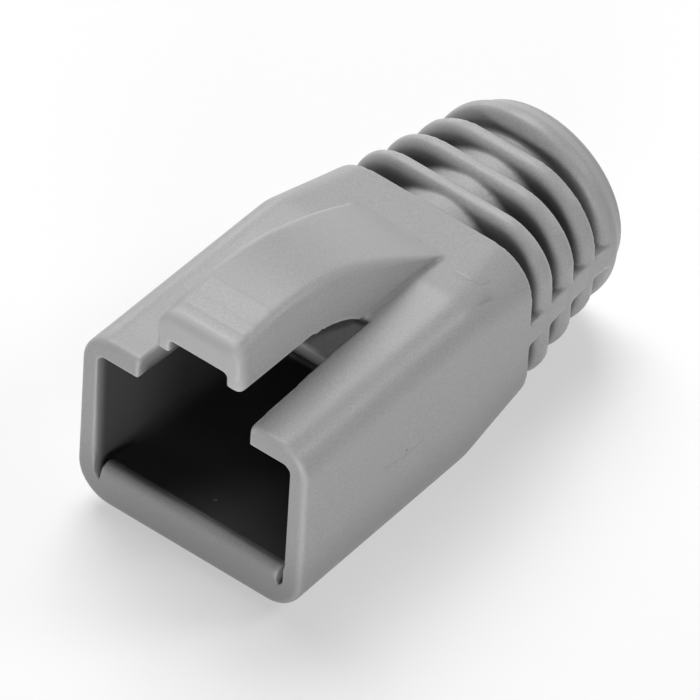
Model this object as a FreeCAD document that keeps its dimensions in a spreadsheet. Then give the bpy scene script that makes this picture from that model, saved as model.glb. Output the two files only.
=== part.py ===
"""Strain relief boot for an RJ45 plug: one soft moulded piece.

Frame: X across the boot, Y from the open front to the cable end, Z up.
The sketches start at the middle of the front opening's bottom edge, and the
finished boot is placed with its origin below its middle.  Millimetres.
"""
import FreeCAD, Part
import math
import os

import Sketcher

# ---------------------------------------------------------------- driving sizes
SIZES = (
    # housing, the sleeve that slips over the plug
    ("opening_width", 12.0, "inside width of the sleeve at its ceiling"),
    ("opening_height", 8.05, "inside height of the sleeve"),
    ("side_wall", 0.97, "side wall at the front"),
    ("floor_wall", 1.4, "floor under the plug"),
    ("roof_wall", 1.2, "roof over the plug"),
    ("wall_draft", 0.12, "how much each inner side wall leans in at the floor"),
    ("side_taper", 0.18, "how much each outer side closes in by the break"),
    ("roof_rise", 0.15, "how much the roof rises by the break"),
    ("housing_length", 13.4, "front face to the break of the shoulder"),
    ("cavity_depth", 13.0, "depth of the plug cavity"),
    ("roof_corner", 1.8, "outer radius along the roof edges"),
    ("floor_corner", 2.0, "outer radius along the floor edges"),
    ("inner_corner", 0.5, "radius along the cavity edges"),
    ("front_rounding", 0.28, "rounding of the front rim"),
    # retaining bead on the floor of the opening
    ("bead_half_length", 5.5, "half length of the bead across the opening"),
    ("bead_height", 0.95, "crest of the bead over the floor"),
    ("bead_depth", 1.1, "bead from the front face inwards"),
    # slot for the plug's latch, and the shallow seat behind it
    ("slot_front_half", 3.45, "half width of the roof slot at the front"),
    ("slot_rear_half", 3.2, "half width of the roof slot at its end"),
    ("slot_length", 6.4, "front face to the end of the slot"),
    ("seat_end", 9.5, "front face to the end of the latch seat"),
    ("seat_depth", 0.25, "depth of the latch seat in the roof"),
    # latch cover, the arched hood over the slot
    ("cover_base_half", 2.85, "half width of the hood where it meets the roof"),
    ("cover_top_half", 2.4, "half width of the hood at its highest"),
    ("cover_start", 0.1, "front face to the hood's front face"),
    ("cover_top", 15.0, "highest point of the hood"),
    ("cover_crest", 3.8, "front face to the highest point"),
    ("cover_arch_radius", 15.0, "radius of the hood's arch"),
    ("cover_join", 9.9, "front face to where the arch turns into the flatter back"),
    ("cover_back_radius", 40.0, "radius of the hood's back"),
    ("cover_plate", 1.6, "thickness of the hood's plate"),
    ("cover_rounding", 0.7, "rounding along the hood's top edges"),
    ("cover_nose_rounding", 0.45, "rounding of the hood's front edge"),
    ("skirt_inner_half", 1.78, "half width between the hood's skirts"),
    ("skirt_gap", 1.5, "free height between roof and skirts"),
    ("skirt_straight", 5.0, "front face to where the skirts turn down"),
    ("skirt_root", 9.4, "front face to where the skirts meet the roof"),
    # shoulder and ribbed tail
    ("tail_axis_height", 5.21, "height of the cable's axis"),
    ("shoulder_length", 5.12, "break to the rear face of the shoulder"),
    ("shoulder_half_width", 6.31, "half width of the shoulder's rear face"),
    ("shoulder_half_height", 4.89, "half height of the shoulder's rear face"),
    ("shoulder_corner", 2.5, "corner radius of the shoulder's rear face"),
    ("rib_pitch", 1.965, "from one groove to the next"),
    ("rib_count", 3, "number of ribs"),
    ("groove_width", 0.5, "width of each groove at its bottom"),
    ("last_rib_half_width", 5.68, "half width of the last rib"),
    ("last_rib_half_height", 5.06, "half height of the last rib"),
    ("last_rib_corner", 4.15, "corner radius of the last rib"),
    ("slope_length", 0.5, "sloped front of the ribs and the collar, along the boot"),
    ("slope_depth", 0.45, "sloped front of the ribs and the collar, inwards"),
    ("core_radius", 4.65, "radius of the tube between the ribs"),
    ("spine_half_height", 0.7, "half height of the side spines"),
    ("collar_radius", 5.68, "radius of the collar"),
    ("collar_straight", 1.25, "front of the collar to where it narrows"),
    ("collar_end_radius", 5.1, "radius of the collar at the cable end"),
    ("collar_length", 2.45, "length of the collar"),
    ("collar_rounding", 0.4, "rounding of the collar's rear rim"),
    ("bore_radius", 3.3, "cable bore"),
    ("funnel_radius", 3.95, "mouth of the lead-in to the bore"),
    ("funnel_length", 2.6, "length of the lead-in to the bore"),
)

document = FreeCAD.newDocument("strain_relief_boot")
sheet = document.addObject("Spreadsheet::Sheet", "sizes")
for row, (alias, number, note) in enumerate(SIZES, start=1):
    sheet.set(f"A{row}", alias)
    sheet.set(f"B{row}", str(number))
    sheet.set(f"C{row}", note)
    sheet.setAlias(f"B{row}", alias)
document.recompute()


class Dim:
    """A length that is known as a number and as a formula over the sheet."""

    def __init__(self, value, formula):
        self.value = value
        self.formula = formula

    def joined(self, sign, other, value):
        text = other.formula if isinstance(other, Dim) else str(other)
        return Dim(value, f"({self.formula} {sign} {text})")

    def __add__(self, other):
        return self.joined("+", other, self.value + number_of(other))

    def __sub__(self, other):
        return self.joined("-", other, self.value - number_of(other))

    def __mul__(self, other):
        return self.joined("*", other, self.value * number_of(other))

    def __truediv__(self, other):
        return self.joined("/", other, self.value / number_of(other))

    def __neg__(self):
        return Dim(-self.value, f"(-{self.formula})")


def number_of(quantity):
    """The plain number behind a Dim or a number."""
    return quantity.value if isinstance(quantity, Dim) else float(quantity)


def dim(alias):
    """The sheet's cell of that alias."""
    return Dim(float(sheet.get(alias)), f"sizes.{alias}")


# ------------------------------------------------------------- worked-out sizes
front_half = dim("opening_width") / 2 + dim("side_wall")
break_half = front_half - dim("side_taper")
ceiling = dim("floor_wall") + dim("opening_height")
front_top = ceiling + dim("roof_wall")
break_top = front_top + dim("roof_rise")
shoulder_end = dim("housing_length") + dim("shoulder_length")
collar_start = shoulder_end + dim("rib_pitch") * dim("rib_count") + dim("groove_width")
boot_length = collar_start + dim("collar_length")
axis_height = dim("tail_axis_height")


# ------------------------------------------------------------- sketching helpers
def new_body(name):
    """An empty body; the helpers below work on the one that is called body."""
    made = document.addObject("PartDesign::Body", name)
    made.Label = name
    return made


# How a sketch counts: its own origin and axes, then the vertices of an edge.
ORIGIN = -1
UPRIGHT_AXIS = ORIGIN - 1
START = 1
END = START + 1
CENTRE = END + 1


def new_sketch(name, role, offset=None):
    """A sketch on one of the body's origin planes, moved along its normal."""
    sketch = body.newObject("Sketcher::SketchObject", name)
    plane = next(item for item in body.Origin.OriginFeatures if item.Role == role)
    sketch.AttachmentSupport = [(plane, "")]
    sketch.MapMode = "FlatFace"
    if offset is not None:
        sketch.AttachmentOffset = FreeCAD.Placement(
            FreeCAD.Vector(0, 0, offset.value), FreeCAD.Rotation()
        )
        sketch.setExpression("AttachmentOffset.Base.z", offset.formula)
    return sketch


def cross_section(name, y):
    """A sketch across the boot at distance y: its axes are X and Z."""
    return new_sketch(name, "XZ_Plane", -y)


def side_view(name):
    """A sketch on the middle plane: its axes are Y and Z."""
    return new_sketch(name, "YZ_Plane")


def point(across, up):
    return FreeCAD.Vector(number_of(across), number_of(up), 0)


def constrain(sketch, kind, *arguments):
    return sketch.addConstraint(Sketcher.Constraint(kind, *arguments))


def bind(sketch, kind, *arguments):
    """A dimension whose last argument is a Dim, tied to the sheet."""
    quantity = arguments[-1]
    index = constrain(sketch, kind, *arguments[:-1], quantity.value)
    sketch.setExpression(f"Constraints[{index}]", quantity.formula)


def place(sketch, edge, end, across, up):
    """Fix one vertex by its two distances from the sketch's origin."""
    for kind, quantity, axis in (("DistanceX", across, UPRIGHT_AXIS), ("DistanceY", up, ORIGIN)):
        if number_of(quantity) == 0:
            constrain(sketch, "PointOnObject", edge, end, axis)
        else:
            bind(sketch, kind, ORIGIN, START, edge, end, quantity)


def arc(sketch, middle, radius, start, sweep):
    """Add an arc that starts at an angle in degrees and turns counterclockwise."""
    circle = Part.Circle(middle, FreeCAD.Vector(0, 0, 1), number_of(radius))
    angles = math.radians(start), math.radians(start + sweep)
    return sketch.addGeometry(Part.ArcOfCircle(circle, *angles), False)


def polyline(sketch, *corners):
    """A closed outline of straight edges, every corner fixed by its distances."""
    ends = [point(*corner) for corner in corners]
    edges = []
    for index, first in enumerate(ends):
        second = ends[(index + 1) % len(ends)]
        edges.append(sketch.addGeometry(Part.LineSegment(first, second), False))
    for index, edge in enumerate(edges):
        constrain(sketch, "Coincident", edge, END, edges[(index + 1) % len(edges)], START)
        place(sketch, edge, START, *corners[index])


def rounded_section(name, y, half_width, low, high, low_radius, high_radius):
    """A cross-section with upright sides and four rounded corners."""
    sketch = cross_section(name, y)
    left = -half_width
    low_side = low + low_radius
    high_side = high - high_radius
    low_flat = half_width - low_radius
    high_flat = half_width - high_radius
    lines = (
        (point(-low_flat, low), point(low_flat, low)),
        (point(half_width, low_side), point(half_width, high_side)),
        (point(high_flat, high), point(-high_flat, high)),
        (point(left, high_side), point(left, low_side)),
    )
    arcs = (
        (point(low_flat, low_side), low_radius, -90),
        (point(high_flat, high_side), high_radius, 0),
        (point(-high_flat, high_side), high_radius, 90),
        (point(-low_flat, low_side), low_radius, 180),
    )
    sides = []
    corners = []
    for line, (middle, radius, start) in zip(lines, arcs):
        sides.append(sketch.addGeometry(Part.LineSegment(*line), False))
        corners.append(arc(sketch, middle, radius, start, 90))
    for index in range(4):
        constrain(sketch, "Tangent", sides[index], END, corners[index], START)
        constrain(sketch, "Tangent", corners[index], END, sides[(index + 1) % 4], START)
    constrain(sketch, "Horizontal", sides[0])
    constrain(sketch, "Horizontal", sides[2])
    constrain(sketch, "Vertical", sides[1])
    constrain(sketch, "Vertical", sides[3])
    constrain(sketch, "Equal", corners[0], corners[3])
    constrain(sketch, "Equal", corners[1], corners[2])
    bind(sketch, "Radius", corners[0], low_radius)
    bind(sketch, "Radius", corners[1], high_radius)
    bind(sketch, "DistanceX", ORIGIN, START, sides[1], START, half_width)
    bind(sketch, "DistanceX", sides[3], START, ORIGIN, START, half_width)
    if low.value == 0:
        constrain(sketch, "PointOnObject", sides[0], START, ORIGIN)
    else:
        bind(sketch, "DistanceY", ORIGIN, START, sides[0], START, low)
    bind(sketch, "DistanceY", ORIGIN, START, sides[2], START, high)
    return sketch


# ------------------------------------------------------------- feature helpers
def volume():
    """The body's volume so far."""
    document.recompute()
    return 0.0 if body.Shape.isNull() else body.Shape.Volume


def pad(name, sketch, length, symmetric=False, reverse=True):
    """Add material: to both sides of the sketch's plane, against its normal or along it."""
    before = volume()
    feature = body.newObject("PartDesign::Pad", name)
    feature.Profile = sketch
    feature.Length = length.value
    feature.setExpression("Length", length.formula)
    feature.Midplane = symmetric
    feature.Reversed = reverse and not symmetric
    if volume() <= before:
        raise RuntimeError(f"{name} adds nothing")
    return feature


def pocket(name, sketch, length, symmetric=False):
    """Cut material away: to both sides of the plane, or away from its normal."""
    before = volume()
    feature = body.newObject("PartDesign::Pocket", name)
    feature.Profile = sketch
    feature.Length = length.value
    feature.setExpression("Length", length.formula)
    feature.Midplane = symmetric
    if volume() >= before:
        raise RuntimeError(f"{name} cuts nothing")
    return feature


def chosen_edges(wanted):
    """The body's last feature, with the edges that suit a test of edge and middle point."""
    names = []
    for index, edge in enumerate(body.Tip.Shape.Edges, start=1):
        middle = edge.valueAt((edge.FirstParameter + edge.LastParameter) / 2)
        if wanted(edge, middle):
            names.append(f"Edge{index}")
    return body.Tip, names


def fillet(name, radius, wanted):
    """Round the wanted edges."""
    edges = chosen_edges(wanted)
    feature = body.newObject("PartDesign::Fillet", name)
    feature.Base = edges
    feature.Radius = radius.value
    feature.setExpression("Radius", radius.formula)
    document.recompute()


def near(first, second):
    return abs(number_of(first) - number_of(second)) < 1e-4


def level(edge, y):
    """True when the whole edge lies in the plane across the boot at y."""
    box = edge.BoundBox
    return near(box.YMin, y) and near(box.YMax, y)


zero = dim("side_wall") * 0

# ------------------------------------------------------------- hood over the latch
body = new_body("hood_form")
arch_middle = dim("cover_top") - dim("cover_arch_radius")
skirt_low = front_top + dim("skirt_gap")


def arch_height(y, radius):
    """Height of an arch of that radius, about the hood's own centre, at distance y."""
    return arch_middle.value + math.sqrt(radius.value ** 2 - (y.value - dim("cover_crest").value) ** 2)


def back_middle():
    """Centre of the hood's back, which runs on from the arch without a kink."""
    across = dim("cover_join").value - dim("cover_crest").value
    share = 1 - dim("cover_back_radius").value / dim("cover_arch_radius").value
    up = math.sqrt(dim("cover_arch_radius").value ** 2 - across ** 2)
    return dim("cover_crest").value + across * share, arch_middle.value + up * share


def hood_height(y):
    """Height of the hood's top at distance y: the arch, then the back."""
    if y < dim("cover_join").value:
        middle = dim("cover_crest").value, arch_middle.value
        radius = dim("cover_arch_radius").value
    else:
        middle = back_middle()
        radius = dim("cover_back_radius").value
    return middle[1] + math.sqrt(radius ** 2 - (y - middle[0]) ** 2)


def bearing(middle, y, z):
    """Direction from a circle's middle to a point on it, in degrees."""
    return math.degrees(math.atan2(z - middle[1], y - middle[0]))


def hood_profile():
    """Side view of the hood: skirt edge, nose, arch, back, buried foot and skirt curl."""
    sketch = side_view("hood_view")
    start = dim("cover_start")
    crest = dim("cover_crest")
    join = dim("cover_join")
    root = dim("skirt_root")
    straight = dim("skirt_straight")
    arch_radius = dim("cover_arch_radius")
    back_radius = dim("cover_back_radius")
    front_middle = crest.value, arch_middle.value
    rear_middle = back_middle()
    nose_top = hood_height(start.value)
    foot_rise = ceiling.value - rear_middle[1]
    foot_y = rear_middle[0] + math.sqrt(back_radius.value ** 2 - foot_rise ** 2)
    nose_angle = bearing(front_middle, start.value, nose_top)
    join_angle = bearing(front_middle, join.value, hood_height(join.value))
    foot_angle = bearing(rear_middle, foot_y, ceiling.value)
    run = root.value - straight.value
    drop = skirt_low.value - front_top.value
    curl_radius = (run ** 2 + drop ** 2) / (2 * drop)
    curl_angle = math.degrees(math.asin(run / curl_radius))
    curl_middle = point(straight, skirt_low.value - curl_radius)

    def line(first, second):
        return sketch.addGeometry(Part.LineSegment(point(*first), point(*second)), False)

    edge = line((straight, skirt_low), (start, skirt_low))
    nose = line((start, skirt_low), (start, nose_top))
    foot = line((foot_y, ceiling), (root, ceiling))
    rise = line((root, ceiling), (root, front_top))
    arch = arc(sketch, point(*front_middle), arch_radius, join_angle, nose_angle - join_angle)
    back = arc(sketch, point(*rear_middle), back_radius, foot_angle, join_angle - foot_angle)
    curl = arc(sketch, curl_middle, curl_radius, 90 - curl_angle, curl_angle)
    constrain(sketch, "Coincident", edge, END, nose, START)
    constrain(sketch, "Coincident", nose, END, arch, END)
    constrain(sketch, "Tangent", arch, START, back, END)
    constrain(sketch, "Coincident", back, START, foot, START)
    constrain(sketch, "Coincident", foot, END, rise, START)
    constrain(sketch, "Coincident", rise, END, curl, START)
    constrain(sketch, "Tangent", curl, END, edge, START)
    constrain(sketch, "Horizontal", edge)
    constrain(sketch, "Vertical", nose)
    constrain(sketch, "Horizontal", foot)
    constrain(sketch, "Vertical", rise)
    place(sketch, edge, START, straight, skirt_low)
    bind(sketch, "DistanceX", ORIGIN, START, nose, START, start)
    place(sketch, arch, CENTRE, crest, arch_middle)
    bind(sketch, "Radius", arch, arch_radius)
    bind(sketch, "DistanceX", ORIGIN, START, arch, START, join)
    bind(sketch, "Radius", back, back_radius)
    place(sketch, rise, START, root, ceiling)
    bind(sketch, "DistanceY", ORIGIN, START, rise, END, front_top)
    return sketch


# The sides lean in as one plane each, from the buried foot to above the crest.
lean = (dim("cover_base_half") - dim("cover_top_half")) / (dim("cover_top") - front_top)
foot_half = dim("cover_base_half") + lean * (front_top - ceiling)
over_hood = dim("cover_top") + dim("cover_plate")
over_half = dim("cover_base_half") - lean * (over_hood - front_top)
hood_view = hood_profile()
pad("hood", hood_view, foot_half * 2, symmetric=True)

lean_view = cross_section("lean_view", zero)
for side in (1, -1):
    polyline(
        lean_view,
        (foot_half * side, ceiling),
        (foot_half * side, over_hood),
        (over_half * side, over_hood),
    )
pocket("hood_sides", lean_view, boot_length)


def on_hood_top(edge, middle):
    """True for the long edges between the hood's top and its sides."""
    along = edge.BoundBox.YLength > edge.BoundBox.XLength
    return along and abs(middle.x) > 0.1 and middle.z > hood_height(middle.y) - 0.05


def on_nose(edge, middle):
    """True for the sides and the top of the hood's front face."""
    return level(edge, dim("cover_start")) and middle.z > skirt_low.value + 0.1


fillet("hood_edges", dim("cover_rounding"), on_hood_top)
fillet("hood_nose", dim("cover_nose_rounding"), on_nose)

hood_form = body

# ------------------------------------------------------------- sleeve
body = new_body("boot")
sleeve_view = side_view("sleeve_view")
polyline(
    sleeve_view,
    (zero, zero),
    (dim("housing_length"), zero),
    (dim("housing_length"), break_top),
    (zero, front_top),
)
pad("sleeve", sleeve_view, front_half * 2, symmetric=True)

taper_plan = new_sketch("taper_plan", "XY_Plane", break_top)
for side in (1, -1):
    polyline(
        taper_plan,
        (front_half * side, zero),
        (front_half * side, dim("housing_length")),
        (break_half * side, dim("housing_length")),
    )
pocket("sleeve_taper", taper_plan, break_top)


def runs_back(edge):
    """True for an edge that runs from the front face to the break."""
    box = edge.BoundBox
    return near(box.YMin, 0) and near(box.YMax, dim("housing_length"))


def outermost(middle):
    """True near the sides of the sleeve."""
    return abs(middle.x) > break_half.value - 0.01


def on_roof_edge(edge, middle):
    """True for the two long edges of the roof."""
    return runs_back(edge) and outermost(middle) and middle.z > ceiling.value


def on_floor_edge(edge, middle):
    """True for the two long edges of the underside."""
    return runs_back(edge) and outermost(middle) and near(middle.z, 0)


fillet("roof_edges", dim("roof_corner"), on_roof_edge)
fillet("floor_edges", dim("floor_corner"), on_floor_edge)
fillet("front_rim", dim("front_rounding"), lambda edge, middle: level(edge, zero))

# ------------------------------------------------------------- shoulder
shoulder_section = rounded_section(
    "shoulder_section", shoulder_end, dim("shoulder_half_width"),
    axis_height - dim("shoulder_half_height"), axis_height + dim("shoulder_half_height"),
    dim("shoulder_corner"), dim("shoulder_corner"),
)
sleeve_back = next(
    f"Face{index}"
    for index, face in enumerate(body.Tip.Shape.Faces, start=1)
    if near(face.BoundBox.YMin, dim("housing_length")) and near(face.BoundBox.YLength, 0)
)
sleeve_end = body.Tip
shoulder = body.newObject("PartDesign::AdditiveLoft", "shoulder")
shoulder.Profile = (sleeve_end, [sleeve_back])
shoulder.Sections = [shoulder_section]
shoulder.Ruled = True
document.recompute()

# ------------------------------------------------------------- tube and collar
tail_view = side_view("tail_view")
tail_end = collar_start + dim("collar_length")
tube_start = shoulder_end - dim("groove_width")
polyline(
    tail_view,
    (tube_start, axis_height),
    (tail_end, axis_height),
    (tail_end, axis_height + dim("collar_end_radius")),
    (collar_start + dim("collar_straight"), axis_height + dim("collar_radius")),
    (collar_start + dim("slope_length"), axis_height + dim("collar_radius")),
    (collar_start, axis_height + dim("collar_radius") - dim("slope_depth")),
    (collar_start, axis_height + dim("core_radius")),
    (tube_start, axis_height + dim("core_radius")),
)
tail = body.newObject("PartDesign::Revolution", "tube_and_collar")
tail.Profile = tail_view
tail.ReferenceAxis = (tail_view, ["Edge1"])
tail.Angle = 360
document.recompute()
fillet("collar_rim", dim("collar_rounding"), lambda edge, middle: level(edge, tail_end))

# ------------------------------------------------------------- side spines
rib_count = int(dim("rib_count").value)
rib_width = dim("rib_pitch") - dim("groove_width")


def along_tail(first, last, index):
    """The size of rib number index, between the shoulder's and the last rib's."""
    return first + (last - first) * (index + 1) / rib_count


def rib_front(index):
    """Distance of rib number index from the front of the boot."""
    return shoulder_end + dim("groove_width") + dim("rib_pitch") * index


def rib_half_width(index):
    return along_tail(dim("shoulder_half_width"), dim("last_rib_half_width"), index)


spine_edge = [(dim("shoulder_half_width"), shoulder_end)]
for index in range(rib_count):
    half_width = rib_half_width(index)
    spine_edge.append((half_width, rib_front(index) + dim("slope_length")))
    spine_edge.append((half_width, rib_front(index) + rib_width))
spine_edge.append((dim("last_rib_half_width"), collar_start + dim("slope_length")))
spine_plan = new_sketch("spine_plan", "XY_Plane", axis_height)
polyline(spine_plan, *spine_edge, *[(-across, y) for across, y in reversed(spine_edge)])
pad("side_spines", spine_plan, dim("spine_half_height") * 2, symmetric=True)

# ------------------------------------------------------------- ribs
boot = body
added_forms = [hood_form]
for index in range(rib_count):
    body = new_body(f"rib_form_{index + 1}")
    front = rib_front(index)
    half_height = along_tail(dim("shoulder_half_height"), dim("last_rib_half_height"), index)
    corner = along_tail(dim("shoulder_corner"), dim("last_rib_corner"), index)
    section = rounded_section(
        f"rib_section_{index + 1}", front, rib_half_width(index),
        axis_height - half_height, axis_height + half_height, corner, corner,
    )
    pad(f"rib_{index + 1}", section, rib_width)
    edges = chosen_edges(lambda edge, middle: level(edge, front))
    slope = body.newObject("PartDesign::Chamfer", f"rib_slope_{index + 1}")
    slope.Base = edges
    slope.ChamferType = "Two distances"
    slope.Size = dim("slope_length").value
    slope.Size2 = dim("slope_depth").value
    slope.setExpression("Size", dim("slope_length").formula)
    slope.setExpression("Size2", dim("slope_depth").formula)
    document.recompute()
    added_forms.append(body)
body = boot

# ------------------------------------------------------------- hood and ribs joined on
joined = body.newObject("PartDesign::Boolean", "forms_joined")
joined.setObjects(added_forms)
joined.Type = "Fuse"
document.recompute()

# ------------------------------------------------------------- plug cavity
cavity_section = cross_section("cavity_section", zero)
inner_top = dim("opening_width") / 2
inner_low = inner_top - dim("wall_draft")
polyline(
    cavity_section,
    (-inner_low, dim("floor_wall")),
    (inner_low, dim("floor_wall")),
    (inner_top, ceiling),
    (-inner_top, ceiling),
)
pocket("plug_cavity", cavity_section, dim("cavity_depth"))


def along_cavity(edge, middle):
    """True for the four long inner edges of the cavity."""
    box = edge.BoundBox
    return near(box.YLength, dim("cavity_depth")) and abs(middle.x) < inner_top.value + 0.01


fillet("cavity_edges", dim("inner_corner"), along_cavity)

# ------------------------------------------------------------- latch slot, seat and hollow
slot_plan = new_sketch("slot_plan", "XY_Plane", break_top)
polyline(
    slot_plan,
    (-dim("slot_front_half"), zero),
    (dim("slot_front_half"), zero),
    (dim("slot_rear_half"), dim("slot_length")),
    (-dim("slot_rear_half"), dim("slot_length")),
)
pocket("latch_slot", slot_plan, break_top - ceiling + dim("inner_corner"))

seat_plan = new_sketch("seat_plan", "XY_Plane", break_top)
polyline(
    seat_plan,
    (-dim("slot_rear_half"), dim("slot_length") - dim("seat_depth")),
    (dim("slot_rear_half"), dim("slot_length") - dim("seat_depth")),
    (dim("slot_rear_half"), dim("seat_end")),
    (-dim("slot_rear_half"), dim("seat_end")),
)
pocket("latch_seat", seat_plan, dim("roof_rise") + dim("seat_depth"))

seat_floor = front_top - dim("seat_depth")
under_radius = dim("cover_arch_radius") - dim("cover_plate")


def hollow_profile():
    """Side view of the room for the latch between the skirts, under an arched plate."""
    sketch = side_view("hollow_view")
    crest = dim("cover_crest")
    front = arch_height(zero, under_radius)
    back = arch_height(dim("seat_end"), under_radius)
    start = math.degrees(math.acos((dim("seat_end").value - crest.value) / under_radius.value))
    finish = math.degrees(math.acos(-crest.value / under_radius.value))

    def line(first, second):
        return sketch.addGeometry(Part.LineSegment(point(*first), point(*second)), False)

    low = line((zero, seat_floor), (dim("seat_end"), seat_floor))
    wall = line((dim("seat_end"), seat_floor), (dim("seat_end"), back))
    plate = arc(sketch, point(crest, arch_middle), under_radius, start, finish - start)
    mouth = line((zero, front), (zero, seat_floor))
    constrain(sketch, "Coincident", low, END, wall, START)
    constrain(sketch, "Coincident", wall, END, plate, START)
    constrain(sketch, "Coincident", plate, END, mouth, START)
    constrain(sketch, "Coincident", mouth, END, low, START)
    constrain(sketch, "Vertical", wall)
    constrain(sketch, "Vertical", mouth)
    place(sketch, low, START, zero, seat_floor)
    place(sketch, low, END, dim("seat_end"), seat_floor)
    place(sketch, plate, CENTRE, crest, arch_middle)
    bind(sketch, "Radius", plate, under_radius)
    return sketch


hollow_view = hollow_profile()
pocket("latch_room", hollow_view, dim("skirt_inner_half") * 2, symmetric=True)

# ------------------------------------------------------------- cable bore and lead-in
bore_view = side_view("bore_view")
polyline(
    bore_view,
    (dim("cavity_depth"), axis_height),
    (tail_end, axis_height),
    (tail_end, axis_height + dim("bore_radius")),
    (dim("cavity_depth") + dim("funnel_length"), axis_height + dim("bore_radius")),
    (dim("cavity_depth"), axis_height + dim("funnel_radius")),
)
bore = body.newObject("PartDesign::Groove", "cable_bore")
bore.Profile = bore_view
bore.ReferenceAxis = (bore_view, ["Edge1"])
bore.Angle = 360
document.recompute()

# ------------------------------------------------------------- bead inside the opening
bead_radius = dim("bead_depth") / 2
bead_shoulder = dim("floor_wall") + dim("bead_height") - bead_radius
bead_root = dim("floor_wall") / 2
bead_view = side_view("bead_view")
bead_front = bead_view.addGeometry(
    Part.LineSegment(point(zero, bead_root), point(zero, bead_shoulder)), False
)
bead_crest = arc(bead_view, point(bead_radius, bead_shoulder), bead_radius, 0, 180)
bead_back = bead_view.addGeometry(
    Part.LineSegment(point(dim("bead_depth"), bead_shoulder), point(dim("bead_depth"), bead_root)),
    False,
)
bead_foot = bead_view.addGeometry(
    Part.LineSegment(point(dim("bead_depth"), bead_root), point(zero, bead_root)), False
)
constrain(bead_view, "Tangent", bead_front, END, bead_crest, END)
constrain(bead_view, "Tangent", bead_crest, START, bead_back, START)
constrain(bead_view, "Coincident", bead_back, END, bead_foot, START)
constrain(bead_view, "Coincident", bead_foot, END, bead_front, START)
constrain(bead_view, "Vertical", bead_front)
constrain(bead_view, "Horizontal", bead_foot)
place(bead_view, bead_front, START, zero, bead_root)
place(bead_view, bead_crest, CENTRE, bead_radius, bead_shoulder)
constrain(bead_view, "Vertical", bead_back)
pad("retaining_bead", bead_view, dim("bead_half_length") * 2, symmetric=True)

# ------------------------------------------------------------- place, check and write
# The collar reaches a little lower than the sleeve, and the boot stands on z = 0.
collar_drop = dim("collar_radius") - axis_height
body.Placement = FreeCAD.Placement(
    FreeCAD.Vector(0, -boot_length.value / 2, collar_drop.value), FreeCAD.Rotation()
)
body.setExpression("Placement.Base.y", f"-{boot_length.formula} / 2")
body.setExpression("Placement.Base.z", collar_drop.formula)
document.recompute()

for item in document.Objects:
    if "Invalid" in item.State or "Error" in item.State:
        raise RuntimeError(f"{item.Name} failed: {item.State}")
shape = body.Shape
if shape.isNull() or not shape.isValid() or len(shape.Solids) != 1:
    raise RuntimeError(f"{body.Label} is not one valid solid")

os.makedirs("parts", exist_ok=True)
shape.exportStep(f"parts/{body.Label}.step")
box = shape.BoundBox
print(f"{body.Label}: {box.XLength:.2f} x {box.YLength:.2f} x {box.ZLength:.2f} mm,", end=" ")
print(f"volume {shape.Volume:.1f} mm3, {len(shape.Faces)} faces")
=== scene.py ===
"""The looks of the strain relief boot: its moulded skin, finish, light, floor and camera.

X runs across the boot, Y from the open front to the cable end, Z up.  The skin's sizes
are millimetres from the middle of the opening's bottom edge, the camera, the lamps and
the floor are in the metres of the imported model's frame, and MM turns one into the other.
"""

import math
from collections import namedtuple

import bmesh
import bpy
import numpy as np
from mathutils import Matrix, Vector


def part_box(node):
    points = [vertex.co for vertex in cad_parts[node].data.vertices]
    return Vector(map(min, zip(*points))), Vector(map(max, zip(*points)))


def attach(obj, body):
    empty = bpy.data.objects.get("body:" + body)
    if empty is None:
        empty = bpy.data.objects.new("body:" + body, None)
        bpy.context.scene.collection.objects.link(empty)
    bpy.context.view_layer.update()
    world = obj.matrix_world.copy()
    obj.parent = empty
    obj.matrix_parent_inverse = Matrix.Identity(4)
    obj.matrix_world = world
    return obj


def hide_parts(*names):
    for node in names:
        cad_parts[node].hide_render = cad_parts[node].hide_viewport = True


MM = 0.001

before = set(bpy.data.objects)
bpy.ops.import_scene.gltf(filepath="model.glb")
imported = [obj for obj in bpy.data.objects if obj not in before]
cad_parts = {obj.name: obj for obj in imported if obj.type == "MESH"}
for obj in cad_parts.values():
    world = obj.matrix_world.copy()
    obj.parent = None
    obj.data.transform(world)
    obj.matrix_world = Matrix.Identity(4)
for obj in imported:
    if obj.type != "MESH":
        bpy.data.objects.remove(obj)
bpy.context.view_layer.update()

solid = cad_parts["boot"]
low, high = (Vector(corner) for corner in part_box("boot"))

# ---------------------------------------------------------------- tail
TAIL_END = 27.365                    # open front to cable end
BORE_RADIUS = 3.3
BORE_EDGE = 0.15                     # bevel of the bore's rim
TUBE_RADIUS = 4.65                   # tube between the ribs
TUBE_END = TAIL_END - 0.8            # inside the collar
BURIED_RADIUS = 4.3                  # inside the tube's wall, for the fronts and the spines
RING_INNER = 4.1                     # inner side of a rib's ring
AXIS_HEIGHT = 5.21                   # of the cable's axis over the sleeve's underside
SHOULDER_END = 18.52                 # rear face of the shoulder
SHOULDER_OVERLAP = 0.4               # how far the tube and the spines start inside it
SHOULDER_HALF_WIDTH = 6.31
RIB_PITCH = 1.965
# Half width, half height and corner radius of each rib, from the shoulder to the collar.
RIBS = ((6.10, 4.947, 3.05), (5.89, 5.003, 3.60), (5.68, 5.06, 4.15))
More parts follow.
